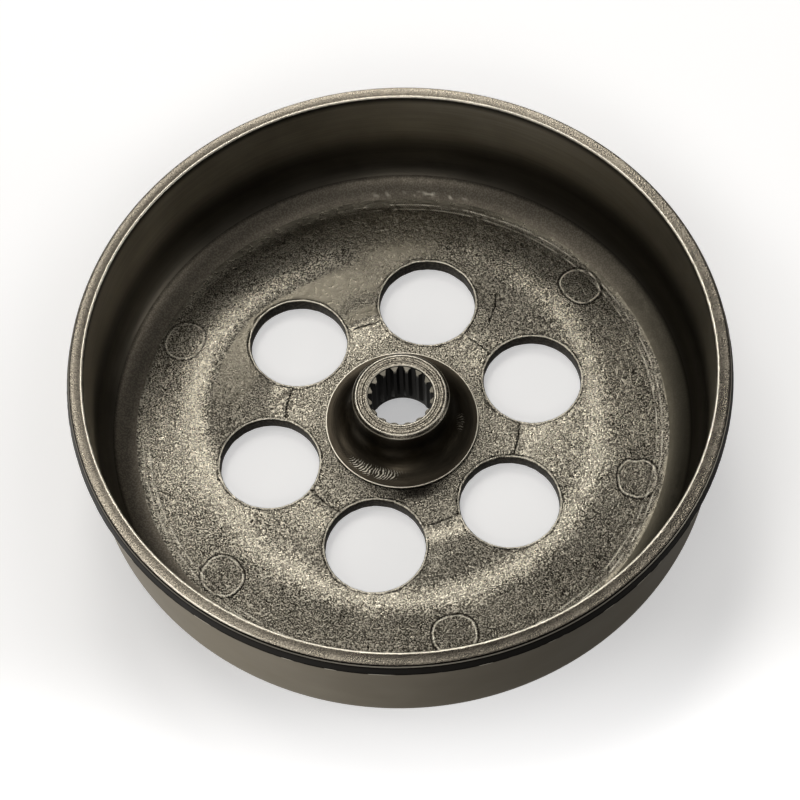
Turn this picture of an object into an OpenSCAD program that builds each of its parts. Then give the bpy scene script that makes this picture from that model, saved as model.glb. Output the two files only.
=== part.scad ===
// Clutch drum (bell) of a small scooter engine: a six-holed steel drum on a
// splined hub.  The drum stands on the outside of its web, its axis is +Z, and
// its open side, where the clutch shoes go in, faces up.

/* [Drum] */
// Inside diameter, where the clutch shoes grip
bell_d = 107; // [104:0.5:110]
// Height from the outside of the web to the rim face
bell_h = 26.3; // [24:0.1:32]
// Wall thickness beside the rim's lip
wall_t = 2; // [1.5:0.1:4]
// How far the wall leans in from the lip to the foot, on the radius
wall_draft = 0.5; // [0:0.1:1]
// Radius of the round between the wall and the outside of the web
foot_round = 6; // [3:0.5:8]
// Radius of the round between the wall and the inside of the web
floor_round = 8; // [4:0.5:9]

/* [Rim] */
// How far the lip stands out from the wall below it
lip_out = 1; // [0.6:0.1:1.5]
// Height of the lip's outer band
lip_h = 1.9; // [1:0.1:4]
// How far the band leans out towards its lower edge
lip_flare = 0.45; // [0:0.05:0.6]
// Chamfer on the inside edge of the rim face
mouth_chamfer = 0.3; // [0.1:0.05:1]

/* [Web] */
// Thickness of the web round the hub
web_t = 2.7; // [2:0.1:4]
// How far the ring with the holes is sunk below the hub's seat
dish_depth = 0.15; // [0.05:0.05:0.3]
// How far the crest outside the holes stands above the hub's seat
crest_rise = 0.2; // [0.05:0.05:0.4]
// Diameter of the crest
crest_d = 71; // [68:1:80]
// How far the web lies below the hub's seat where it meets the round of the wall
web_drop = 0.6; // [0.2:0.1:1]
// Number of lightening holes
hole_count = 6; // [3:1:6]
// Diameter of a lightening hole
hole_d = 17.6; // [10:0.2:20]
// Diameter of the circle that the lightening holes lie on
hole_circle_d = 49.6; // [47:0.2:52]
// Angle of the first lightening hole from +X
hole_turn = 16.5; // [0:0.5:60]
// Depth of the mould line that joins the holes
mould_line_depth = 0.2; // [0.1:0.05:0.4]
// Diameter of the mould line
mould_line_d = 41.8; // [40:0.2:44]

/* [Hub] */
// Height of the hub's inner face above the outside of the web
hub_h = 12.4; // [10:0.1:20]
// Diameter of the neck
neck_d = 17.1; // [16.5:0.1:19]
// Diameter of the flange that sits on the web
flange_d = 27.3; // [25:0.1:29]
// Thickness of the flange at its edge
flange_t = 0.6; // [0.3:0.1:1]
// Diameter of the spigot that is pressed into the web
spigot_d = 20; // [18:0.5:22]
// Chamfer on the outer edge of the hub's inner face
nose_chamfer = 0.5; // [0.2:0.1:0.8]

/* [Spline] */
// Number of spline teeth
tooth_count = 16; // [12:1:24]
// Diameter across the roots of the spline
root_d = 11.6; // [11.2:0.1:12]
// Diameter across the tips of the spline teeth
tip_d = 10.4; // [9.6:0.1:10.6]
// Angle of the first gap between teeth from +X
spline_turn = 20.25; // [0:0.25:30]
// Diameter of the chamfer at the hub's inner face
mouth_d = 11.8; // [11.6:0.1:12.6]
// Diameter of the counterbore in the hub's outer face
counter_d = 12; // [12:0.1:13]
// Depth of the counterbore
counter_depth = 1.5; // [0.5:0.1:3]

/* [Hidden] */
$fn = 96;
eps = 0.01;                  // overlap that keeps cuts clean
bell_r = bell_d / 2;
wall_top_r = bell_r + wall_t;
wall_foot_r = wall_top_r - wall_draft;
lip_r = wall_top_r + lip_out;
edge_bevel = 0.5;            // height of the bevel between rim face and band
face_r = lip_r - lip_flare - 0.35;
lip_foot_z = bell_h - edge_bevel - lip_h;
corner_z = web_t - web_drop; // where the web meets the floor round
mould_line_w = 0.5;
dish_z = web_t - dish_depth;
seat_r = flange_d / 2 + 0.3;  // flat part of the web, under the hub's flange
crest_r = crest_d / 2;
crest_w = 2;                 // width of the crest's flat top
neck_r = neck_d / 2;
flange_r = flange_d / 2;
flange_top_z = web_t + flange_t;
neck_round = flange_r - neck_r;
gap_share_tip = 0.74;        // part of the tooth pitch that is gap, at the tips
gap_share_root = 0.30;       // and at the roots
mouth_cone = (mouth_d - tip_d) / 2;      // height of a 45 degree chamfer on the teeth
counter_cone = (counter_d - tip_d) / 2;

// Half section of everything inside the drum's outer skin
module drum_outside() {
  square([wall_foot_r - foot_round, foot_round]);
  translate([wall_foot_r - foot_round, foot_round]) circle(r = foot_round);
  polygon([
    [0, foot_round], [wall_foot_r, foot_round], [wall_top_r, lip_foot_z],
    [0, lip_foot_z]
  ]);
  polygon([
    [0, lip_foot_z], [lip_r, lip_foot_z], [lip_r - lip_flare, bell_h - edge_bevel],
    [face_r, bell_h], [0, bell_h]
  ]);
}

// Half section of the hollow that the clutch turns in
module drum_hollow() {
  polygon([
    [0, web_t], [seat_r, web_t], [mould_line_d / 2 + mould_line_w, dish_z],
    [hole_circle_d / 2, dish_z], [crest_r - crest_w / 2, web_t + crest_rise],
    [crest_r + crest_w / 2, web_t + crest_rise], [bell_r - floor_round, corner_z],
    [bell_r - floor_round, bell_h + 1], [0, bell_h + 1]
  ]);
  translate([bell_r - floor_round, corner_z + floor_round]) circle(r = floor_round);
  translate([bell_r - floor_round, corner_z + floor_round])
    square([floor_round, bell_h - corner_z - floor_round + 1]);
  polygon([
    [bell_r - eps, bell_h - mouth_chamfer], [bell_r + mouth_chamfer, bell_h + eps],
    [bell_r - eps, bell_h + eps]
  ]);
}

module lightening_holes() {
  for (i = [0 : hole_count - 1])
    rotate(hole_turn + i * 360 / hole_count)
      translate([hole_circle_d / 2, 0, -1])
        cylinder(d = hole_d, h = web_t + 2);
}

// Shallow groove left in the web by the joint of the mould
module mould_line() {
  translate([0, 0, dish_z - mould_line_depth])
    difference() {
      cylinder(d = mould_line_d + mould_line_w, h = 1);
      translate([0, 0, -eps]) cylinder(d = mould_line_d - mould_line_w, h = 1 + 2 * eps);
    }
}

module drum() {
  color("#625d51")
    difference() {
      rotate_extrude()
        difference() {
          drum_outside();
          drum_hollow();
        }
      translate([0, 0, -1]) cylinder(d = spigot_d, h = web_t + 2);
      lightening_holes();
      mould_line();
    }
}

// Half section of the hub, with a concave round from the neck to the flange
module hub_section() {
  difference() {
    polygon([
      [0, 0], [spigot_d / 2, 0], [spigot_d / 2, web_t], [flange_r, web_t],
      [flange_r, flange_top_z + neck_round], [neck_r, flange_top_z + neck_round],
      [neck_r, hub_h - nose_chamfer], [neck_r - nose_chamfer, hub_h], [0, hub_h]
    ]);
    translate([flange_r, flange_top_z + neck_round]) circle(r = neck_round);
  }
}

// Gaps between the spline teeth, wider at the tips than at the roots
module spline_gaps() {
  tip_half = PI * tip_d / tooth_count * gap_share_tip / 2;
  root_half = PI * root_d / tooth_count * gap_share_root / 2;
  inner = tip_d / 2 - 0.4;
  outer = root_d / 2;
  for (i = [0 : tooth_count - 1])
    rotate(spline_turn + i * 360 / tooth_count)
      translate([0, 0, -1])
        linear_extrude(height = hub_h + 2)
          polygon([
            [inner, -tip_half], [tip_d / 2, -tip_half], [outer, -root_half],
            [outer, root_half], [tip_d / 2, tip_half], [inner, tip_half]
          ]);
}

// Chamfer on the teeth at the hub's inner face
module mouth() {
  translate([0, 0, hub_h - mouth_cone])
    cylinder(r1 = tip_d / 2, r2 = mouth_d / 2 + eps, h = mouth_cone + eps);
}

// Counterbore in the hub's outer face, with a chamfer on the teeth above it
module counterbore() {
  translate([0, 0, -1]) cylinder(d = counter_d, h = counter_depth + 1);
  translate([0, 0, counter_depth - eps])
    cylinder(r1 = counter_d / 2 + eps, r2 = tip_d / 2, h = counter_cone + eps);
}

module hub() {
  color("#3d3932")
    difference() {
      rotate_extrude() hub_section();
      translate([0, 0, -1]) cylinder(d = tip_d, h = hub_h + 2);
      spline_gaps();
      mouth();
      counterbore();
    }
}

drum();
hub();
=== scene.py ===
"""Looks of the clutch drum: the drum and its hub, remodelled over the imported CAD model.

Sizes in the constants are millimetres; meshes are made in metres, in the CAD frame.
"""
import math
from math import cos, pi, radians, sin

import bmesh
import bpy
import numpy as np
from mathutils import Matrix, Vector, noise
from mathutils.geometry import delaunay_2d_cdt


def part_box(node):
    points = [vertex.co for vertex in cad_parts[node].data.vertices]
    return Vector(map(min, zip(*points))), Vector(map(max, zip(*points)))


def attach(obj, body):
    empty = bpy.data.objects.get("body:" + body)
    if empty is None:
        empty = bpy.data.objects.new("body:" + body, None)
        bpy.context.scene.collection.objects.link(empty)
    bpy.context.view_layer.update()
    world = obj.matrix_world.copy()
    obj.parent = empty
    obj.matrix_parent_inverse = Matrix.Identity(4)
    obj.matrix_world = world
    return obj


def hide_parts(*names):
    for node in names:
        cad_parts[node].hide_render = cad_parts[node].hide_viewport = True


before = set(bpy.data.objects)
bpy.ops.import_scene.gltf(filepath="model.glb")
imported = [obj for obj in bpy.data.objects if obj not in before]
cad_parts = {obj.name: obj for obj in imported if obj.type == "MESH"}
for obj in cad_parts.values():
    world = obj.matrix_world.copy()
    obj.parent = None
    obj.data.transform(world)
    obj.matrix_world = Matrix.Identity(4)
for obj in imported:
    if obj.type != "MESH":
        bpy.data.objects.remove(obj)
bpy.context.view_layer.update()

MM = 0.001

# ---------------------------------------------------------------- sizes, mm
LIP_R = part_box("drum")[1][0] / MM           # widest point, at the lip's lower edge
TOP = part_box("drum")[1][2] / MM             # rim face
HUB_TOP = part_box("hub")[1][2] / MM          # hub's inner face
FLANGE_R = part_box("hub")[1][0] / MM         # hub's flange

BORE_R = 53.5                               # friction wall
WALL_TOP_R, WALL_FOOT_R = 55.5, 55.0
FACE_R, BAND_TOP_R = LIP_R - 0.8, LIP_R - 0.45
BEVEL_H, BAND_H = 0.5, 1.9
MOUTH_CHAMFER = 0.3
FOOT_ROUND, FLOOR_ROUND = 6.0, 8.0
WEB_T, WEB_EDGE = 2.7, 2.1
SEAT_R = 10.0
HOLE_R, HOLE_CIRCLE_R, HOLE_TURN = 8.8, 24.8, 16.5
MOULD_R = 20.9
FLANGE_Z = WEB_T + 0.6
NECK_R, NOSE_CHAMFER = 8.55, 0.6
MOUTH_R, COUNTER_R, COUNTER_DEPTH = 5.9, 6.0, 1.5
TIP_R, ROOT_R, TEETH, SPLINE_TURN = 5.2, 5.8, 16, 20.25
TIP_GAP, ROOT_GAP = 0.74, 0.30              # share of the tooth pitch that is gap

FLOOR_R = BORE_R - FLOOR_ROUND              # where web and round meet
FRICTION_FOOT_R = 51.2                      # on the round: the turned finish starts here
BAND_FOOT = TOP - BEVEL_H - BAND_H          # height of the lip's lower edge
WEB_RIM_R = 47.5                            # outer edge of the web patch
RINGS_R = 44.2                              # the web is meshed in dense rings outside this
RING_N = 720                                # segments round the drum
HOLE_N = 160                                # segments round a hole
SEAT_N = 240                                # segments round the hub's seat
TOOTH_N = 32                                # segments round the hub for each tooth
SHARP = 35                                  # degrees between faces that don't shade as one
HOLES = [(HOLE_CIRCLE_R * cos(radians(HOLE_TURN + 60 * k)),
          HOLE_CIRCLE_R * sin(radians(HOLE_TURN + 60 * k))) for k in range(6)]


def wave(x, y, z=0.0, size=1.0, octaves=1):
    """Smooth noise, about -1 to 1, with features of that size in mm."""
    p = Vector((x / size, y / size, z))
    total, share = 0.0, 1.0
    for _ in range(octaves):
        total += share * noise.noise(p)
        p, share = p * 2.1, share * 0.5
    return total


def bump(d, width):
    """1 on a line, falling off to 0 at about twice its width."""
    return math.exp(-(d / width) ** 2)


def ease(t):
    """0 up to 0, 1 from 1 on, smooth between."""
    t = min(1.0, max(0.0, t))
    return t * t * (3 - 2 * t)


def turn_between(angle, centre):
    """Degrees from one direction to another, the short way round."""
    return (angle - centre + 180) % 360 - 180


# ---------------------------------------------------------------- meshes
class Builder:
    """Collects vertices, faces and zones, with vertices at one place merged.

    Each vertex has a tone: above 0 it carries a painted highlight, below 0 painted shade, as in a
    crevice.
    """

    def __init__(self):
        self.verts, self.tones, self.faces, self.zones, self.seen = [], [], [], [], {}

    def vert(self, x, y, z, tone=0.0):
        key = (round(x, 4), round(y, 4), round(z, 4))
        if key not in self.seen:
            self.seen[key] = len(self.verts)
            self.verts.append((x, y, z))
            self.tones.append(tone)
        return self.seen[key]

    def face(self, corners, zone):
        if len(set(corners)) == len(corners):
            self.faces.append(corners)
            self.zones.append(zone)

    def skin(self, rings, zones):
        """Quads between rings of vertex numbers; zones has one entry per gap."""
        for lower, upper, zone in zip(rings, rings[1:], zones):
            n = len(lower)
            for i in range(n):
                j = (i + 1) % n
                self.face((lower[i], lower[j], upper[j], upper[i]), zone)

    def make(self, name, materials, closed=True):
        mesh = bpy.data.meshes.new(name)
        mesh.from_pydata([(x * MM, y * MM, z * MM) for x, y, z in self.verts], [], self.faces)
        for m in materials:
            mesh.materials.append(m)
        mesh.polygons.foreach_set("material_index", self.zones)
        tone = mesh.attributes.new("tone", "FLOAT", "POINT")
        tone.data.foreach_set("value", self.tones)
        bm = bmesh.new()
        bm.from_mesh(mesh)
        if closed:                          # fills hairline gaps between the patches
            edges = [e for e in bm.edges if e.is_boundary]
            bmesh.ops.holes_fill(bm, edges=edges, sides=6)
        bmesh.ops.recalc_face_normals(bm, faces=bm.faces)
        bm.to_mesh(mesh)
        bm.free()
        mesh.shade_smooth()
        mesh.set_sharp_from_angle(angle=radians(SHARP))
        obj = bpy.data.objects.new(name, mesh)
        bpy.context.scene.collection.objects.link(obj)
        return obj


# ---------------------------------------------------------------- drum surface
# Round marks that the ejector pins left: angle, radius of centre, strength
PIN_MARKS = ((37.5, 42.9, 1.0), (93, 43.7, 0.35), (154, 43.2, 0.8),
             (221, 42.9, 1.0), (279.5, 41.9, 1.0), (341.5, 42.9, 1.0))
PIN_ACROSS, PIN_ALONG = 3.25, 3.65          # half sizes towards the axis and along the ring
PIN_SQUARE = 2.3                            # 2 would make the marks plain ellipses
# Fine ridges where web and round meet: radius, brightness of their painted highlight; they fade
# round one direction
RIDGES = ((45.3, 1.0), (46.3, 0.8))
RIDGES_FADE_AT = 138
# Painted shade of the hub on the web beside it, in this direction
HUB_SHADE_AT = 278
# Shallow folds in the web's skin: points along each one
FOLDS = (((18.5, 25.2), (18.2, 22.6), (16.8, 19.4)),
         ((15.2, -8.1), (17.6, -8.3), (19.8, -7.3)),
         ((-7.6, 19.6), (-6.2, 20.1), (-4.6, 20.4)))
# Slope of the web's skin by radius: a boss round the hub, a dished ring, the crest
WEB_SLOPES = ((0, 0.0), (13.7, 0.0), (15, -0.02), (19, -0.025), (21, 0.0), (22.5, 0.03),
              (26, 0.03), (31, 0.025), (33.5, 0.012), (35.5, 0.0), (37.5, -0.055),
              (39.5, -0.098), (46, -0.098))


def web_profile(step=0.05):
    """Heights of the web's skin at each step of radius, ending at the floor round."""
    radii = np.arange(0, 48, step)
    slopes = np.interp(radii, *zip(*WEB_SLOPES))
    rise = np.concatenate(([0], np.cumsum((slopes[1:] + slopes[:-1]) / 2 * step)))
    return radii, rise - np.interp(FLOOR_R, radii, rise) + WEB_EDGE


WEB_RADII, WEB_HEIGHTS = web_profile()


def pin_places():
    for angle, r, strength in PIN_MARKS:
        a = radians(angle)
        yield r * cos(a), r * sin(a), a, strength


def pin_edge(a, turn):
    """Radius of a pin mark's outline at that angle from the outward direction."""
    across, along = abs(cos(turn)) / PIN_ACROSS, abs(sin(turn)) / PIN_ALONG
    r = (across ** PIN_SQUARE + along ** PIN_SQUARE) ** (-1 / PIN_SQUARE)
    r *= 1 + 0.035 * wave(cos(turn), sin(turn), a, 0.6, 2)
    dent = 0.6 if a > 5.5 else 0.0          # the last mark has a flat side
    return r - dent * bump((turn - 1.9 + pi) % (2 * pi) - pi, 0.3)


def hole_gap(x, y):
    """How far a point lies outside the nearest hole's edge."""
    return min(math.hypot(x - hx, y - hy) for hx, hy in HOLES) - HOLE_R


def ragged(hx, hy, t):
    """Small waves of a hole's edge."""
    return 0.06 * wave(hx + 9 * cos(t), hy + 9 * sin(t), 3, 1.6, 2)


def mould_line(x, y):
    """Wavering radius of the mould line in the direction of a point."""
    return MOULD_R + 0.15 * wave(x, y, 7, 3)


def fold_distance(x, y):
    """How far a point lies from the nearest fold."""
    best = math.inf
    for line in FOLDS:
        for (ax, ay), (bx, by) in zip(line, line[1:]):
            dx, dy = bx - ax, by - ay
            t = ((x - ax) * dx + (y - ay) * dy) / (dx * dx + dy * dy)
            t = min(1.0, max(0.0, t))
            best = min(best, math.hypot(x - ax - t * dx, y - ay - t * dy))
    return best


def tool_line(r, a):
    """Wavering radius that the dense rings follow at the edge of the web."""
    return r + 0.12 * wave(6 * cos(a), 6 * sin(a), 2, 1.3, 2) * ease((r - 44.2) / 0.5) \
        * ease((47.2 - r) / 0.5)


def web_skin(x, y):
    """Height and tone of the web's inner surface; the tone lays painted highlights on ridges and
    edges, painted shade in grooves and beside the hub.
    """
    r, a = math.hypot(x, y), math.atan2(y, x)
    z, tone = float(np.interp(r, WEB_RADII, WEB_HEIGHTS)), 0.0
    if r > FLOOR_R:
        z = WEB_EDGE + FLOOR_ROUND - math.sqrt(FLOOR_ROUND ** 2 - (r - FLOOR_R) ** 2)
    # Painted shade of the hub on the web beside it
    if r < 18:
        near = bump(turn_between(math.degrees(a), HUB_SHADE_AT), 24)
        tone = -0.85 * near * ease((16.6 - r) / 1.8)
    if r < FLANGE_R + 0.4:
        return z, tone
    z += 0.03 * wave(x, y, 0, 6, 2) * ease((r - 14) / 3) * ease((47.4 - r) / 2)
    # Ridges by the floor round: a painted highlight on each, painted shade just inside it; both
    # fade round one direction
    if r > 44:
        quiet = ease((abs(turn_between(math.degrees(a), RIDGES_FADE_AT)) - 24) / 30)
        for centre, bright in RIDGES:
            d = r - tool_line(centre, a)
            broken = ease(0.85 + 1.3 * wave(x, y, centre, 2.6, 3)) * quiet
            z += 0.05 * quiet * bump(d, 0.14)
            tone += bright * broken * bump(d, 0.15) - 0.75 * quiet * bump(d + 0.3, 0.13)
    # Holes: a painted highlight along the edge, and a shallow broken groove with painted shade a
    # little outside it
    for hx, hy in HOLES:
        t = math.atan2(y - hy, x - hx)
        gap = math.hypot(x - hx, y - hy) - HOLE_R - ragged(hx, hy, t)
        if gap < 2.0:
            away = 0.42 + 0.5 * max(0.0, wave(x, y, hx, 3.0, 2))
            line = bump(gap - away, 0.11) * ease(1.1 + 1.5 * wave(x, y, hy, 2.0))
            z -= 0.07 * line + 0.10 * bump(gap, 0.1)
            tone += 0.9 * bump(gap - 0.16, 0.12) - 1.0 * line
    # Pin marks: a raised rim with a painted highlight, painted shade just outside it, and a darker
    # hollow inside
    for px, py, pa, strength in pin_places():
        d = math.hypot(x - px, y - py)
        if d < PIN_ALONG + 1.5:
            turn = (math.atan2(y - py, x - px) - pa) % (2 * pi)
            off = d - pin_edge(pa, turn)
            z += 0.05 * strength * bump(off, 0.16) - 0.04 * strength * ease(-off / 0.5)
            whole = strength * ease(1.0 + 1.2 * wave(x, y, pa, 1.5))
            tone += 1.0 * whole * bump(off, 0.17) - 1.0 * strength * bump(off - 0.40, 0.19)
            tone -= 0.25 * strength * ease(-off / 0.4)
    # Mould line: a groove with painted shade, and a faint painted highlight just outside it
    line = mould_line(x, y)
    z -= 0.10 * bump(r - line, 0.13)
    tone += 0.35 * bump(r - line - 0.35, 0.15) - 1.0 * bump(r - line, 0.13)
    # Folds: shallow grooves with painted shade in them
    d = fold_distance(x, y)
    if d < 1:
        z -= 0.10 * bump(d, 0.13)
        tone -= 1.0 * bump(d, 0.13)
    return z, min(1.0, max(-1.0, tone))


# Painted light and shade round the drum, partly a real polish of the crest: a level all round,
# then lobes of (angle, half width, gain)
SEAT_SHINE = (0.70, (105, 85, 0.6))                     # the web round the hub
EDGE_SHINE = (1.20, (90, 52, -1.0), (288, 35, 0.4))     # step on the holes' inner side
HOLE_SHINE = (0.62, (355, 30, 0.8), (215, 26, 0.6), (125, 40, -0.2))
CREST_SHINE = (1.45, (88, 40, -1.1), (158, 22, 0.35))   # ring outside the holes
OUTER_SHINE = (0.50, (0, 20, 0.3), (190, 30, 0.5), (95, 50, -0.1))
CREST_R = (34.6, (155, 38, 3.6), (55, 38, 2.2))


def round_about(angle, rule):
    """Value of a rule round the drum, such as the painted light and shade above, at that angle."""
    level, *lobes = rule
    for centre, width, gain in lobes:
        level += gain * bump(turn_between(angle, centre), width)
    return level


def web_gloss(x, y):
    """Brightness of the web's grain at a place: painted light and shade round the drum, partly a
    real polish of the crest.
    """
    r = math.hypot(x, y) + 0.9 * wave(x, y, 31, 7, 2)
    angle = math.degrees(math.atan2(y, x)) + 7 * wave(x, y, 32, 9, 2)
    seat, edge, hole, crest, outer, crest_r = (
        round_about(angle, rule) for rule in
        (SEAT_SHINE, EDGE_SHINE, HOLE_SHINE, CREST_SHINE, OUTER_SHINE, CREST_R))
    return float(np.interp(r, (15, 18, 20.6, 21.6, 22.4, 23.6, 25, 29, crest_r - 3.0,
                               crest_r - 0.4, crest_r + 0.4, crest_r + 3.4, 44, 46.6, 48),
                           (0.8 * seat, seat, seat, 0.8 * seat, edge, edge, hole, 0.75 * hole,
                            0.75 * hole, crest, crest, 1.1 * outer, outer, 0.9 * outer,
                            0.3 * outer)))


def circle_points(cx, cy, r, n, start=0.0):
    return [(cx + r * cos(start + 2 * pi * i / n), cy + r * sin(start + 2 * pi * i / n))
            for i in range(n)]


def hole_loop(hx, hy, out):
    """Ring of points round a hole, slightly ragged at its edge."""
    pts = []
    for i in range(HOLE_N):
        t = 2 * pi * i / HOLE_N
        r = HOLE_R + out + ragged(hx, hy, t) * ease(1 - out / 0.8)
        pts.append((hx + r * cos(t), hy + r * sin(t)))
    return pts


def detail_points():
    """Dense points along the marks and lines of the web."""
    pts = []
    for px, py, pa, _ in pin_places():
        for k in range(-5, 7):
            for i in range(120):
                turn = 2 * pi * i / 120
                r = pin_edge(pa, turn) + 0.12 * k
                pts.append((px + r * cos(turn + pa), py + r * sin(turn + pa)))
    for k in range(6):
        for off in (-0.4, -0.24, -0.12, 0, 0.12, 0.24, 0.4, 0.6):
            for i in range(-38, 39):
                a = radians(HOLE_TURN + 60 * k + 30 + i * 0.3)
                x, y = MOULD_R * cos(a), MOULD_R * sin(a)
                r = mould_line(x, y) + off
                pts.append((r * cos(a), r * sin(a)))
    for line in FOLDS:
        for (ax, ay), (bx, by) in zip(line, line[1:]):
            length = math.hypot(bx - ax, by - ay)
            nx, ny = (ay - by) / length, (bx - ax) / length
            n = int(length / 0.18)
            for i in range(n):
                for off in (-0.45, -0.25, -0.1, 0, 0.1, 0.25, 0.45):
                    x = ax + (bx - ax) * i / n + nx * off
                    pts.append((x, ay + (by - ay) * i / n + ny * off))
    return pts


def patch_points(outer_r, detail, step):
    """Points of a flat patch of the web, finer where it has detail."""
    pts = circle_points(0, 0, outer_r, RING_N) + circle_points(0, 0, SEAT_R, SEAT_N)
    outs = (0, 0.1, 0.2, 0.32, 0.44, 0.56, 0.7, 0.85, 1.05, 1.4) if detail else (0, 0.15, 0.5)
    for hx, hy in HOLES:
        for out in outs:
            pts += hole_loop(hx, hy, out)
    fill = []
    r = SEAT_R + step
    while r < outer_r - 0.7 * step:
        if detail and r > RINGS_R:
            break
        fill += circle_points(0, 0, r, int(2 * pi * r / step), r)
        r += step
    special = detail_points() if detail else []
    taken = np.array(special) if special else np.zeros((0, 2))
    keep = [p for p in special if hole_gap(*p) > 1.5 and math.hypot(*p) < RINGS_R + 0.1]
    for x, y in fill:
        if hole_gap(x, y) < outs[-1] + 0.5 * step:
            continue
        if len(taken) and np.abs(taken - (x, y)).sum(axis=1).min() < 0.3:
            continue
        keep.append((x, y))
    if detail:
        for k in range(22):
            r = RINGS_R + 0.2 + 0.14 * k
            for i in range(RING_N):
                a = 2 * pi * (i + 0.5 * (k % 2)) / RING_N
                keep.append((tool_line(r, a) * cos(a), tool_line(r, a) * sin(a)))
    return pts + keep


def in_hole(x, y):
    for hx, hy in HOLES:
        d = math.hypot(x - hx, y - hy)
        if d < HOLE_R + 0.3:
            return d < HOLE_R + ragged(hx, hy, math.atan2(y - hy, x - hx))
    return False


JUST_INSIDE = 0.9999                        # keeps the slim triangles along the seat's edge


def add_patch(build, outer_r, skin, zone, detail, step):
    """Triangulated web surface from the seat to outer_r, with the holes left open."""
    pts = patch_points(outer_r, detail, step)
    xy, _, tris, *_ = delaunay_2d_cdt([Vector(p) for p in pts], [], [], 0, 1e-7)
    index = []
    for p in xy:
        z, tone = skin(p.x, p.y)
        index.append(build.vert(p.x, p.y, z, tone))
    for tri in tris:
        cx = sum(xy[i].x for i in tri) / 3
        cy = sum(xy[i].y for i in tri) / 3
        if math.hypot(cx, cy) > SEAT_R * JUST_INSIDE and not in_hole(cx, cy):
            build.face(tuple(index[i] for i in tri), zone)


(ZONE_WEB, ZONE_FLOOR, ZONE_WALL, ZONE_RIM, ZONE_BAND, ZONE_OUTER, ZONE_HOLE,
 ZONE_BACK) = range(8)
# Stand for painted glints that come and go along the lip's lower edge, and a painted highlight on
# the rim's outer edge
GLINT, GLEAM = 9.0, 8.0
GLEAM_AT = 232                              # direction in which the rim's edge shines most
# Painted shade of the rim face, darker in some directions round the drum
RIM_SHADE = (0.24, (150, 60, 0.22), (280, 30, 0.2), (40, 25, -0.2))     # a rule like the above
# Painted highlight streak on the floor round: radius, direction
STREAK_R, STREAK_AT = 48.4, 82


def drum_profile():
    """Half section from the web patch's edge, over the rim, to the underside.

    Each point is (radius, height, zone of the skin after it, tone).
    """
    pts = []
    first = math.degrees(math.asin((WEB_RIM_R - FLOOR_R) / FLOOR_ROUND))
    # Floor round, with painted shade deepening towards the friction wall
    for k in range(31):
        t = radians(first + (90 - first) * k / 30)
        r = FLOOR_R + FLOOR_ROUND * sin(t)
        pts.append((r, WEB_EDGE + FLOOR_ROUND * (1 - cos(t)),
                    ZONE_FLOOR if r < FRICTION_FOOT_R else ZONE_WALL,
                    -0.7 * ease(r - FRICTION_FOOT_R + 0.8)))
    z0 = WEB_EDGE + FLOOR_ROUND
    # Friction wall, with painted shade at its foot
    for k in range(1, 8):
        pts.append((BORE_R, z0 + (TOP - MOUTH_CHAMFER - z0) * k / 8, ZONE_WALL,
                    -0.7 * (1 - ease(k / 5))))
    # Mouth of the rim: painted shade just below the round, a painted highlight on its upper part
    pts.append((BORE_R, TOP - MOUTH_CHAMFER - 0.1, ZONE_RIM, -0.9))
    for k in range(10):
        t = radians(90 - 10 * k)
        pts.append((BORE_R + MOUTH_CHAMFER * (1 - sin(t)), TOP - MOUTH_CHAMFER * (1 - cos(t)),
                    ZONE_RIM, -0.5 if k < 2 else 1.0))
    # Rim face: a little darker near the mouth, a painted highlight along its outer edge
    for inset, tone in ((1.8, -0.1), (1.65, -0.35), (1.35, -0.3), (1.0, -0.2), (0.65, -0.1),
                        (0.4, 0.0), (0.3, GLEAM), (0.12, GLEAM)):
        pts.append((FACE_R - inset, TOP, ZONE_RIM, tone))
    # Bevel to the lip band: a thin line of painted shade, then a thin painted highlight
    pts += [(FACE_R - 0.05, TOP - 0.02, ZONE_RIM, GLEAM),
            (FACE_R + 0.01, TOP - 0.08, ZONE_BAND, -0.8),
            (FACE_R + 0.10, TOP - 0.26, ZONE_BAND, -0.6),
            (FACE_R + 0.16, TOP - 0.36, ZONE_BAND, 0.5),
            (BAND_TOP_R - 0.05, TOP - BEVEL_H + 0.04, ZONE_BAND, 0.5),
            (BAND_TOP_R, TOP - BEVEL_H - 0.04, ZONE_BAND, -0.3)]
    low = BAND_FOOT
    for t in (0.2, 0.4, 0.6, 0.8, 0.9):
        pts.append((BAND_TOP_R + (LIP_R - 0.02 - BAND_TOP_R) * t,
                    TOP - BEVEL_H - BAND_H * t, ZONE_BAND, -0.3))
    # Painted glints along the lip's lower edge, and painted shade on the wall just under the lip
    pts += [(LIP_R - 0.01, low + 0.12, ZONE_BAND, GLINT), (LIP_R, low + 0.06, ZONE_BAND, GLINT),
            (LIP_R - 0.03, low, ZONE_BAND, GLINT), (LIP_R - 0.1, low - 0.02, ZONE_OUTER, -0.8),
            (WALL_TOP_R + 0.05, low - 0.05, ZONE_OUTER, -0.9),
            (WALL_TOP_R, low - 0.12, ZONE_OUTER, -0.9), (WALL_TOP_R, low - 0.35, ZONE_OUTER, -0.3),
            (WALL_TOP_R, low - 0.6, ZONE_OUTER, 0.0)]
    for k in range(1, 13):
        t = k / 12
        pts.append((WALL_TOP_R + (WALL_FOOT_R - WALL_TOP_R) * t,
                    low - 0.6 + (FOOT_ROUND - low + 0.6) * t, ZONE_OUTER, 0.0))
    for k in range(1, 17):
        t = radians(90 * k / 16)
        pts.append((WALL_FOOT_R - FOOT_ROUND * (1 - cos(t)), FOOT_ROUND * (1 - sin(t)),
                    ZONE_OUTER if k < 14 else ZONE_BACK, 0.0))
    return pts


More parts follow.
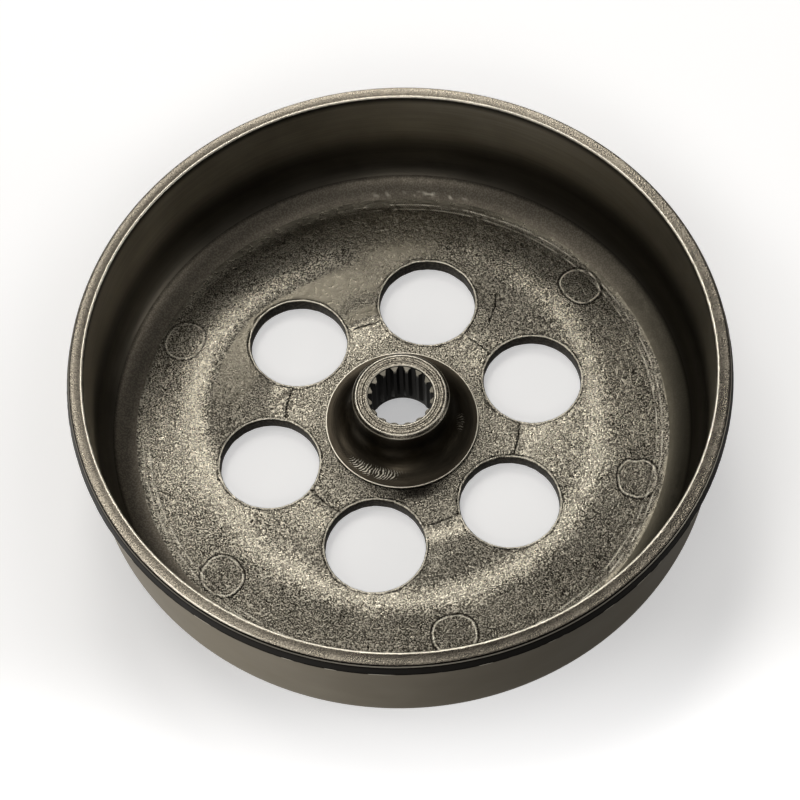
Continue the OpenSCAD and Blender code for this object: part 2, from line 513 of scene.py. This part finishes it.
def rim_wear(r, z, x, y):
    """Nicks along the rim's inner edge and the lip's lower edge: outwards, upwards."""
    if z > TOP - MOUTH_CHAMFER and BORE_R < r < BORE_R + MOUTH_CHAMFER + 0.1:
        return 0.07 * max(wave(x, y, 11, 0.9, 2), 0.0), -0.03 * abs(wave(x, y, 13, 0.8))
    if r > LIP_R - 0.05 and z < BAND_FOOT + 0.2:
        return -0.06 * max(wave(x, y, 14, 1.1, 2), 0.0), 0.0
    return 0.0, 0.0


def painted_light_tone(r, a, zone, tone):
    """Painted light and shade of the rim and the floor round, where it changes round the drum:
    glints, a highlight and shade by direction, a highlight streak.
    """
    x, y, angle = r * cos(a), r * sin(a), math.degrees(a)
    if tone == GLINT:
        return ease(2.2 * wave(x, y, 15, 4.5, 2) + 0.1) * 1.6 - 0.5
    if tone == GLEAM:
        glow = bump(angle - GLEAM_AT, 16)
        return 0.9 * glow - (1 - glow) * (0.1 + round_about(angle, RIM_SHADE))
    if zone == ZONE_RIM and tone > 0.4:
        return tone * ease(1.1 + 0.8 * wave(x, y, 16, 1.5, 2))
    if zone == ZONE_RIM and r > BORE_R + MOUTH_CHAMFER:
        return tone - round_about(angle, RIM_SHADE)
    if zone == ZONE_FLOOR:
        streak = bump(r - STREAK_R, 0.5) * bump(angle - STREAK_AT, 13)
        return tone + 0.9 * streak * ease(0.4 + 1.5 * wave(x, y, 17, 1.5, 2))
    return tone


def add_hole_wall(build, hx, hy):
    """Wall of one hole, a little hollow and uneven under its edge."""
    edge = hole_loop(hx, hy, 0)
    levels = [[build.vert(x, y, *web_skin(x, y)) for x, y in edge]]
    for drop, inset in ((0.12, 0.04), (0.4, 0.06), (1.2, 0.05), (2.0, 0.02)):
        level = []
        for i, (x, y) in enumerate(edge):
            k = 1 - (inset + 0.03 * wave(x, y, drop, 0.7)) / HOLE_R
            z = max(build.verts[levels[0][i]][2] - drop, 0.1)
            level.append(build.vert(hx + (x - hx) * k, hy + (y - hy) * k, z))
        levels.append(level)
    levels.append([build.vert(x, y, 0.0) for x, y in edge])
    build.skin(levels, [ZONE_HOLE] * 5)


def build_drum(materials):
    build = Builder()
    add_patch(build, WEB_RIM_R, web_skin, ZONE_WEB, True, 0.75)
    rings, zones = [], []
    for n, (r, z, zone, tone) in enumerate(drum_profile()):
        ring = []
        for i in range(RING_N):
            a = 2 * pi * i / RING_N
            x, y = r * cos(a), r * sin(a)
            dr, dz = rim_wear(r, z, x, y)
            shine = painted_light_tone(r, a, zone, tone)
            if n == 0:                      # the web patch ends here
                z, shine = web_skin(x, y)
            ring.append(build.vert((r + dr) * cos(a), (r + dr) * sin(a), z + dz, shine))
        rings.append(ring)
        zones.append(zone)
    build.skin(rings, zones)
    add_patch(build, WALL_FOOT_R - FOOT_ROUND, lambda x, y: (0.0, 0.0), ZONE_BACK, False, 2.5)
    for hx, hy in HOLES:
        add_hole_wall(build, hx, hy)
    build.skin([[build.vert(x, y, z) for x, y in circle_points(0, 0, SEAT_R, SEAT_N)]
                for z in (0.0, web_skin(SEAT_R, 0)[0])], [ZONE_HOLE])
    shell = build.make("drum_shell", materials)
    # Gloss of the web's grain: painted light and shade round the drum, partly a real polish of the
    # crest
    gloss = shell.data.attributes.new("gloss", "FLOAT", "POINT")
    gloss.data.foreach_set("value", [web_gloss(x, y) if z > 1 and math.hypot(x, y) < 48 else 1.0
                                     for x, y, z in build.verts])
    return shell


# ---------------------------------------------------------------- hub surface
HUB_NECK, HUB_FACE, HUB_BORE, HUB_BACK = range(4)
# Turned grooves in the hub's face: radius, depth
FACE_GROOVES = ((7.62, 0.05), (7.1, 0.03), (6.72, 0.05), (6.35, 0.03))
# Ripples of the tool on the hub's round, with painted glints: radius, spacing in degrees, and
# where round the hub
CHATTER_R, CHATTER_PITCH, CHATTER_AT, CHATTER_ALSO_AT = 11.9, 2.6, 241, 350


def spline_r(a):
    """Radius of the toothed bore in that direction, in radians."""
    pitch = 360 / TEETH
    off = abs((math.degrees(a) - SPLINE_TURN + pitch / 2) % pitch - pitch / 2) / pitch
    t = (off - ROOT_GAP / 2) / (TIP_GAP / 2 - ROOT_GAP / 2)
    return ROOT_R - (ROOT_R - TIP_R) * min(1.0, max(0.0, t))


def hub_profile():
    """Closed half section of the hub.

    Each point is (kind, radius, height, zone of the skin after it, tone).  A toothed point
    is never nearer the axis than its radius, and follows the gaps between the teeth.
    """
    top = COUNTER_DEPTH + COUNTER_R - TIP_R
    pts = [("toothed", COUNTER_R + COUNTER_DEPTH - z, z, HUB_BORE, 0.0)
           for z in (top, top - 0.2, top - 0.4, top - 0.6, COUNTER_DEPTH)]
    pts += [("plain", COUNTER_R, 0.12, HUB_BORE, 0.2),
            ("plain", COUNTER_R + 0.1, 0.0, HUB_BACK, 0.5)]
    pts += [("plain", r, z, HUB_BACK, 0.0) for r, z in
            ((6.35, 0.0), (8.0, 0.0), (SEAT_R - 0.1, 0.0), (SEAT_R - 0.01, 0.08),
             (SEAT_R - 0.01, WEB_T))]
    # Flange: painted shade at its foot, a painted highlight along its upper edge
    pts += [("plain", FLANGE_R - 0.05, WEB_T, HUB_NECK, -0.8),
            ("plain", FLANGE_R, WEB_T + 0.05, HUB_NECK, -0.8),
            ("plain", FLANGE_R, FLANGE_Z - 0.12, HUB_NECK, 0.4),
            ("plain", FLANGE_R - 0.05, FLANGE_Z - 0.03, HUB_NECK, 1.0),
            ("plain", FLANGE_R - 0.16, FLANGE_Z, HUB_NECK, 1.0),
            ("plain", FLANGE_R - 0.28, FLANGE_Z - 0.01, HUB_NECK, -0.5)]
    round_r = FLANGE_R - NECK_R
    # Round from the flange up to the neck, darker towards the flange
    for k in range(1, 61):
        t = radians(90 * k / 60)
        if round_r * sin(t) > 0.4:
            r = FLANGE_R - round_r * sin(t)
            pts.append(("plain", r, FLANGE_Z + round_r * (1 - cos(t)), HUB_NECK,
                        -0.42 * ease((r - 10.5) / 2)))
    low = FLANGE_Z + round_r
    high = HUB_TOP - NOSE_CHAMFER
    for k in range(1, 6):
        pts.append(("plain", NECK_R, low + (high - 0.05 - low) * k / 5, HUB_NECK, 0.0))
    # Nose chamfer: painted highlights along both its edges
    pts += [("plain", NECK_R - 0.02, high, HUB_FACE, 0.9),
            ("plain", NECK_R - 0.1, high + 0.1, HUB_FACE, 0.9),
            ("plain", NECK_R - 0.2, high + 0.2, HUB_FACE, -0.4),
            ("plain", NECK_R - 0.45, high + 0.45, HUB_FACE, -0.4),
            ("plain", NECK_R - 0.55, HUB_TOP - 0.04, HUB_FACE, 0.9),
            ("plain", NECK_R - 0.68, HUB_TOP, HUB_FACE, 0.8)]
    # Face with turned grooves, painted shade in each groove
    r = NECK_R - 0.76
    while r > MOUTH_R + 0.2:
        deep = sum(depth * bump(r - groove_r, 0.09) for groove_r, depth in FACE_GROOVES)
        pts.append(("plain", r, HUB_TOP - deep, HUB_FACE, -18 * deep))
        r -= 0.07
    # Mouth of the bore: a painted highlight on its edge and on the chamfered tops of the teeth
    pts += [("plain", MOUTH_R + 0.10, HUB_TOP, HUB_FACE, 0.9),
            ("plain", MOUTH_R + 0.02, HUB_TOP - 0.05, HUB_BORE, 0.9)]
    for k in range(1, 8):
        drop = (MOUTH_R - TIP_R) * k / 7
        pts.append(("toothed", MOUTH_R - drop, HUB_TOP - 0.05 - drop, HUB_BORE,
                    0.7 if k > 1 else 0.0))
    z = HUB_TOP - 0.05 - (MOUTH_R - TIP_R)
    for k in range(1, 8):
        pts.append(("toothed", TIP_R, z - 0.1 + (top + 0.1 - z) * k / 8, HUB_BORE, 0.0))
    return pts


def chatter(r, a, zone):
    """Height and tone of the ripples that the tool left on the hub's round; the tone is a painted
    glint on them.
    """
    if zone != HUB_NECK or r < NECK_R + 0.2 or r > FLANGE_R - 0.4:
        return 0.0, 0.0
    deg = math.degrees(a) % 360
    x, y = r * cos(a), r * sin(a)
    window = bump(deg - CHATTER_AT, 21) + 0.3 * bump(deg - CHATTER_ALSO_AT, 12)
    band = bump(r - CHATTER_R + 0.012 * (deg - 238), 0.8)
    turned = 0.004 * sin(2 * pi * r / 0.4 + 0.6 * wave(x, y, 5, 4))
    bend = 0.9 * (r - 11.3) ** 2 + 0.7 * wave(deg / 9, r, 1, 1.0, 2)
    ripple = sin(2 * pi * (deg / CHATTER_PITCH + bend)) + 0.25 * wave(x, y, 6, 0.7)
    share = min(1.2 * window, 1.0) * band * ease(1.15 + 1.3 * wave(x, y, 8, 2.2, 2))
    return turned + 0.03 * ripple * share, 2.8 * share * ease(ripple * 1.5 - 0.45)


def build_hub(materials):
    build = Builder()
    n = TEETH * TOOTH_N
    rings, zones = [], []
    for kind, r, z, zone, tone in hub_profile():
        ring = []
        for i in range(n):
            a = 2 * pi * i / n
            if kind == "toothed":
                out = max(spline_r(a), r)
                ring.append(build.vert(out * cos(a), out * sin(a), z, tone if out == r else 0.0))
            else:
                dz, bright = chatter(r, a, zone)
                ring.append(build.vert(r * cos(a), r * sin(a), z + dz, tone + bright))
        rings.append(ring)
        zones.append(zone)
    build.skin(rings + [rings[0]], zones)
    return build.make("hub_turned", materials)


# ---------------------------------------------------------------- materials
# Colours of the painted highlight and the painted shade that the mesh's tone lays on edges and
# crevices; below, painted shade towards one side, and the web's even colour where its grain is
# smoothed in painted shade
PAINTED_HIGHLIGHT, CREVICE_SHADE = (0.93, 0.88, 0.76), (0.012, 0.010, 0.008)
SHADED, SMOOTH = (0.07, 0.064, 0.048), (0.46, 0.42, 0.33)


class Shader:
    """Small helper that adds nodes to one material."""

    def __init__(self, name):
        self.mat = bpy.data.materials.new(name)
        self.mat.use_nodes = True
        self.tree = self.mat.node_tree
        self.bsdf = self.tree.nodes["Principled BSDF"]
        self.place = self.node("ShaderNodeTexCoord").outputs["Object"]
        self.x, self.y, self.z = self.split(self.place)
        self.r = self.math("SQRT", self.math("ADD", self.math("MULTIPLY", self.x, self.x),
                                             self.math("MULTIPLY", self.y, self.y)))

    def node(self, kind, **settings):
        n = self.tree.nodes.new(kind)
        for key, value in settings.items():
            setattr(n, key, value)
        return n

    def link(self, source, target):
        if hasattr(source, "is_output"):
            self.tree.links.new(source, target)
        else:
            target.default_value = source

    def split(self, vector):
        n = self.node("ShaderNodeSeparateXYZ")
        self.link(vector, n.inputs[0])
        return n.outputs

    def math(self, op, *values, clamp=False):
        n = self.node("ShaderNodeMath", operation=op, use_clamp=clamp)
        for value, socket in zip(values, n.inputs):
            self.link(value, socket)
        return n.outputs[0]

    def noise(self, size, detail=2.0, rough=0.5, at=None):
        """Noise about 0 to 1 with features of that size in mm, or of size 1 in at's space."""
        n = self.node("ShaderNodeTexNoise")
        n.inputs["Scale"].default_value = 1.0 / (size * MM) if at is None else 1.0
        n.inputs["Detail"].default_value = detail
        n.inputs["Roughness"].default_value = rough
        self.link(self.place if at is None else at, n.inputs["Vector"])
        return n.outputs["Fac"]

    def turned(self, pitch, up):
        """Noise stretched into lines round the axis, that far apart in mm."""
        ux, uy = (self.math("DIVIDE", c, self.math("MAXIMUM", self.r, 1e-5))
                  for c in (self.x, self.y))
        across = self.math("MULTIPLY", self.z if up else self.r, 1.0 / (pitch * MM))
        join = self.node("ShaderNodeCombineXYZ")
        self.link(self.math("MULTIPLY", ux, 4.0), join.inputs[0])
        self.link(self.math("MULTIPLY", uy, 4.0), join.inputs[1])
        self.link(across, join.inputs[2])
        return self.noise(pitch, 3, 0.5, join.outputs[0])

    def ramp(self, fac, low, high):
        """0 below low, 1 above high, smooth between."""
        n = self.node("ShaderNodeMapRange", interpolation_type="SMOOTHSTEP")
        self.link(fac, n.inputs["Value"])
        n.inputs["From Min"].default_value = low
        n.inputs["From Max"].default_value = high
        return n.outputs["Result"]

    def blend(self, fac, a, b, kind="MIX"):
        n = self.node("ShaderNodeMix", data_type="RGBA", blend_type=kind)
        self.link(fac, n.inputs["Factor"])
        for value, socket in ((a, n.inputs["A"]), (b, n.inputs["B"])):
            self.link((*value, 1.0) if isinstance(value, tuple) else value, socket)
        return n.outputs["Result"]

    def shaded(self, colour, soft, dx, dy, amount):
        """Paints shade on the skin, by that amount, towards one side of the drum."""
        side = self.math("ADD", self.math("MULTIPLY", self.x, dx),
                         self.math("MULTIPLY", self.y, dy))
        side = self.math("DIVIDE", side, self.math("MAXIMUM", self.r, MM))
        uneven = self.math("MULTIPLY", self.math("SUBTRACT", soft, 0.5), 0.5)
        side = self.ramp(self.math("ADD", side, uneven), 0.0, 0.95)
        return self.blend(self.math("MULTIPLY", side, amount), colour, SHADED)

    def relief(self, height, depth, below=None, strength=1.0):
        n = self.node("ShaderNodeBump")
        n.inputs["Distance"].default_value = depth * MM
        self.link(strength, n.inputs["Strength"])
        self.link(height, n.inputs["Height"])
        if below is not None:
            self.link(below, n.inputs["Normal"])
        return n.outputs["Normal"]

    def finish(self, colour, rough, normal, metal=1.0, tones=True):
        """Connects the skin; the mesh's tone paints highlights on ridges and edges and paints
        shade in crevices.
        """
        if tones:
            tone = self.node("ShaderNodeAttribute", attribute_name="tone").outputs["Fac"]
            bright = self.ramp(tone, 0.1, 0.9)
            colour = self.blend(bright, colour, PAINTED_HIGHLIGHT)
            rough = self.math("ADD", rough, self.math("MULTIPLY", bright, 0.12))
            dark = self.ramp(self.math("MULTIPLY", tone, -1.0), 0.1, 0.9)
            colour = self.blend(self.math("MULTIPLY", dark, 0.93), colour, CREVICE_SHADE)
        self.link(colour, self.bsdf.inputs["Base Color"])
        self.link(rough, self.bsdf.inputs["Roughness"])
        self.bsdf.inputs["Metallic"].default_value = metal
        self.link(normal, self.bsdf.inputs["Normal"])
        return self.mat


def grainy_steel(name, dark, light, rough, grain=0.30, depth=0.05, shade=None, polished_and_lit=False):
    """Forged skin: fine sparkling grain over soft patches.

    A skin that follows the mesh's gloss, painted light and shade with some real polish, is darker
    below 1, has more bright grains above 1, and under about a third has its grain smoothed away,
    as in painted shade.
    """
    s = Shader(name)
    fine = s.noise(grain, 1, 0.5)
    coarse = s.noise(grain * 3.5, 2, 0.5)
    soft = s.noise(7.0, 3, 0.55)
    tone = s.math("ADD", s.math("MULTIPLY", s.ramp(fine, 0.41, 0.64), 0.85),
                  s.math("MULTIPLY", s.ramp(soft, 0.3, 0.7), 0.15))
    spread = s.math("MULTIPLY", s.math("SUBTRACT", coarse, 0.5), 0.3)
    tone = s.math("ADD", tone, spread, clamp=True)
    if polished_and_lit:
        gloss = s.node("ShaderNodeAttribute", attribute_name="gloss").outputs["Fac"]
        extra = s.math("MAXIMUM", s.math("SUBTRACT", gloss, 1.0), 0.0)
        tone = s.math("ADD", tone, s.math("MULTIPLY", extra, 0.6), clamp=True)
    colour = s.blend(tone, dark, light)
    crisp = 1.0                             # strength of the grain's relief
    if polished_and_lit:
        flat = s.math("SUBTRACT", 1.0, s.ramp(gloss, 0.3, 0.5))
        crisp = s.math("SUBTRACT", 1.0, s.math("MULTIPLY", flat, 0.8))
        colour = s.blend(flat, colour, SMOOTH)
        level = s.math("MINIMUM", gloss, 1.0)
        grey = s.node("ShaderNodeCombineXYZ")
        for socket in grey.inputs:
            s.link(level, socket)
        colour = s.blend(1.0, colour, grey.outputs[0], "MULTIPLY")
    if shade:
        colour = s.shaded(colour, soft, *shade)
    dull = s.math("ADD", s.math("MULTIPLY", s.ramp(coarse, 0.3, 0.7), 0.10),
                  s.math("MULTIPLY", fine, 0.10))
    dull = s.math("ADD", dull, rough)
    normal = s.relief(fine, depth, s.relief(coarse, depth, None, crisp), crisp)
    return s.finish(colour, dull, normal)


def turned_steel(name, dark, light, rough, pitch=0.25, depth=0.01, up=False, grain=0.0,
                 patch=9.0, shade=None):
    """Lathe-turned skin: fine lines round the axis over soft patches."""
    s = Shader(name)
    lines = s.turned(pitch, up)
    soft = s.noise(patch, 3, 0.55)
    tone = s.math("ADD", s.math("MULTIPLY", s.ramp(lines, 0.3, 0.7), 0.5),
                  s.math("MULTIPLY", s.ramp(soft, 0.3, 0.7), 0.5))
    normal = s.relief(lines, depth)
    if grain:
        fine = s.noise(0.28, 2, 0.6)
        tone = s.math("ADD", s.math("MULTIPLY", tone, 0.4),
                      s.math("MULTIPLY", s.ramp(fine, 0.38, 0.62), 0.6))
        normal = s.relief(fine, grain, normal)
    colour = s.blend(tone, dark, light)
    if shade:
        colour = s.shaded(colour, soft, *shade)
    dull = s.math("ADD", s.math("MULTIPLY", s.ramp(soft, 0.3, 0.7), 0.08), rough)
    return s.finish(colour, dull, normal)


def drum_materials():
    """One material for each zone of the drum, in the order of the zone numbers."""
    web = grainy_steel("web_grain", (0.065, 0.058, 0.045), (0.98, 0.91, 0.755), 0.21, grain=0.27,
                       depth=0.20, polished_and_lit=True)
    floor = grainy_steel("floor_round_skin", (0.14, 0.124, 0.10), (0.24, 0.215, 0.175), 0.36,
                         grain=0.3, depth=0.006, shade=(0.87, -0.5, 0.92))
    wall = turned_steel("friction_wall", (0.32, 0.29, 0.235), (0.45, 0.41, 0.335), 0.36,
                        pitch=0.5, depth=0.003, up=True, shade=(0.9, -0.4, 0.72))
    rim = turned_steel("rim_face_steel", (0.15, 0.135, 0.11), (0.52, 0.47, 0.386), 0.22,
                       pitch=0.3, depth=0.012, grain=0.06, patch=3.0)
    band = turned_steel("lip_band_steel", (0.008, 0.0065, 0.005), (0.022, 0.019, 0.015), 0.40,
                        pitch=0.3, depth=0.004, up=True)
    outer = turned_steel("outer_wall_steel", (0.285, 0.245, 0.178), (0.34, 0.295, 0.218), 0.42,
                         pitch=6.0, depth=0.003, up=True, patch=14,
                         shade=(0.8, -0.6, 0.35))
    hole = grainy_steel("hole_wall_steel", (0.02, 0.017, 0.013), (0.075, 0.066, 0.052), 0.45,
                        grain=0.5, depth=0.03)
    back = grainy_steel("web_back_grain", (0.20, 0.175, 0.14), (0.50, 0.455, 0.375), 0.32,
                        depth=0.06)
    return [web, floor, wall, rim, band, outer, hole, back]


def hub_materials():
    """One material for each zone of the hub, in the order of the zone numbers."""
    neck = turned_steel("hub_neck_steel", (0.042, 0.035, 0.026), (0.075, 0.064, 0.047), 0.34,
                        pitch=0.5, depth=0.002)
    face = turned_steel("hub_face_steel", (0.015, 0.013, 0.01), (0.46, 0.42, 0.345), 0.26,
                        pitch=0.18, depth=0.012, grain=0.05, patch=2.5)
    # Near-black: painted shade inside the toothed bore
    bore = turned_steel("hub_bore_steel", (0.006, 0.005, 0.004), (0.014, 0.012, 0.0095), 0.5,
                        pitch=0.6, depth=0.006, up=True)
    back = turned_steel("hub_back_steel", (0.24, 0.215, 0.18), (0.42, 0.38, 0.32), 0.30,
                        pitch=0.3, depth=0.006)
    return [neck, face, bore, back]


# ---------------------------------------------------------------- object
drum = build_drum(drum_materials())
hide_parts("drum")
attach(drum, "root")

hub = build_hub(hub_materials())
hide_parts("hub")
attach(hub, "root")

# ---------------------------------------------------------------- stage
# Painted glow of the table, dimmest near the drum's sides: under the drum, and what is added
# towards the front and further out
FLOOR_GLOW, FRONT_GLOW, FAR_GLOW = 0.41, 0.40, 0.14
FLOOR_HALF = 3000                           # half width of the table, mm
FLOOR_GAP = 0.02                            # keeps the table clear of the drum's underside
ROOM_LEFT, ROOM_RIGHT, ROOM_LOW = 0.75, 0.16, 0.10      # light of the room by direction
ROOM_TINT = (1.0, 0.98, 0.95, 1.0)
WARM = (1.0, 0.97, 0.92)
LIGHT_AWAY, LIGHT_SIZE = 1.1, 0.35          # metres
# name, direction from the drum, power in watts
LIGHTS = (("window_light", (-0.08, 0.63, 0.77), 2.0),
          ("upper_light", (-0.32, 0.36, 0.88), 1.25),
          ("top_light", (0.0, 0.0, 1.0), 0.75),
          ("left_light", (-0.75, 0.1, 0.65), 0.8),
          ("right_light", (0.95, -0.1, 0.35), 1.2),
          ("far_light", (0.0, 0.85, 0.5), 0.8),
          ("front_light", (-0.1, -0.75, 0.65), 1.2))


def add_floor():
    """White table, lit a little from within so that it stays pale under the drum."""
    s = Shader("pale_floor")
    colour = s.blend(s.noise(60, 2, 0.5), (0.80, 0.80, 0.805), (0.84, 0.84, 0.84))
    s.finish(colour, 0.7, s.relief(s.noise(3, 2), 0.01), metal=0.0, tones=False)
    s.bsdf.inputs["Emission Color"].default_value = (1.0, 1.0, 1.01, 1.0)
    near = s.ramp(s.math("MULTIPLY", s.y, -1.0), 35 * MM, 75 * MM)
    away = s.ramp(s.r, 60 * MM, 90 * MM)
    lift = s.math("ADD", s.math("MULTIPLY", near, FRONT_GLOW),
                  s.math("MULTIPLY", away, FAR_GLOW))
    s.link(s.math("ADD", lift, FLOOR_GLOW), s.bsdf.inputs["Emission Strength"])
    build = Builder()
    corners = ((-1, -1), (1, -1), (1, 1), (-1, 1))
    build.face(tuple(build.vert(x * FLOOR_HALF, y * FLOOR_HALF, -FLOOR_GAP)
                     for x, y in corners), 0)
    ground = build.make("floor", [s.mat], closed=False)
    ground.visible_glossy = False           # the steel mirrors the dim room, not the table


def add_light(name, direction, power):
    """Round soft light in that direction from the drum, facing it."""
    data = bpy.data.lights.new(name, "AREA")
    data.shape, data.size, data.energy, data.color = "DISK", LIGHT_SIZE, power, WARM
    lamp = bpy.data.objects.new(name, data)
    away = Vector(direction).normalized()
    lamp.location = away * LIGHT_AWAY + Vector((0, 0, 10)) * MM
    lamp.rotation_euler = (-away).to_track_quat("-Z", "Y").to_euler()
    bpy.context.scene.collection.objects.link(lamp)


def add_room():
    """Dim room round the drum, brighter low on its left."""
    world = bpy.data.worlds.new("studio")
    world.use_nodes = True
    tree = world.node_tree
    back = tree.nodes["Background"]
    coord = tree.nodes.new("ShaderNodeTexCoord")
    split = tree.nodes.new("ShaderNodeSeparateXYZ")
    tree.links.new(coord.outputs["Generated"], split.inputs[0])

    def scaled(source, low, high, to_low, to_high):
        n = tree.nodes.new("ShaderNodeMapRange")
        n.interpolation_type = "SMOOTHSTEP"
        tree.links.new(source, n.inputs["Value"])
        for key, value in (("From Min", low), ("From Max", high), ("To Min", to_low),
                           ("To Max", to_high)):
            n.inputs[key].default_value = value
        return n.outputs["Result"]

    side = scaled(split.outputs["X"], -0.8, 0.5, ROOM_LEFT, ROOM_RIGHT)
    low = scaled(split.outputs["Z"], -0.35, 0.15, 1.0, 0.0)
    mix = tree.nodes.new("ShaderNodeMix")
    tree.links.new(low, mix.inputs["Factor"])
    mix.inputs["A"].default_value = ROOM_LOW
    tree.links.new(side, mix.inputs["B"])
    tree.links.new(mix.outputs["Result"], back.inputs["Strength"])
    back.inputs["Color"].default_value = ROOM_TINT
    bpy.context.scene.world = world


add_floor()
add_room()
for light in LIGHTS:
    add_light(*light)
bpy.context.scene.view_settings.view_transform = "Standard"


# ---------------------------------------------------------------- camera
CAMERA_AT = (-0.18, -181.16, 346.93)        # mm
CAMERA_DOWN, CAMERA_ROLL = 61.7, -3.09      # degrees
CAMERA_LENS = 98.13                         # mm, on a 36 mm sensor


def add_camera():
    """Long lens looking down at the open side, tipped a little to one side."""
    down, roll = radians(CAMERA_DOWN), radians(CAMERA_ROLL)
    ahead = Vector((0, cos(down), -sin(down)))
    level = Vector((1, 0, 0))
    up = level.cross(ahead)
    right = cos(roll) * level + sin(roll) * up
    top = cos(roll) * up - sin(roll) * level
    data = bpy.data.cameras.new("camera")
    data.sensor_width, data.lens = 36.0, CAMERA_LENS
    data.clip_start = 0.01
    cam = bpy.data.objects.new("camera", data)
    turn = Matrix((right, top, -ahead)).transposed().to_4x4()
    cam.matrix_world = Matrix.Translation(Vector(CAMERA_AT) * MM) @ turn
    bpy.context.scene.collection.objects.link(cam)
    bpy.context.scene.camera = cam


add_camera()
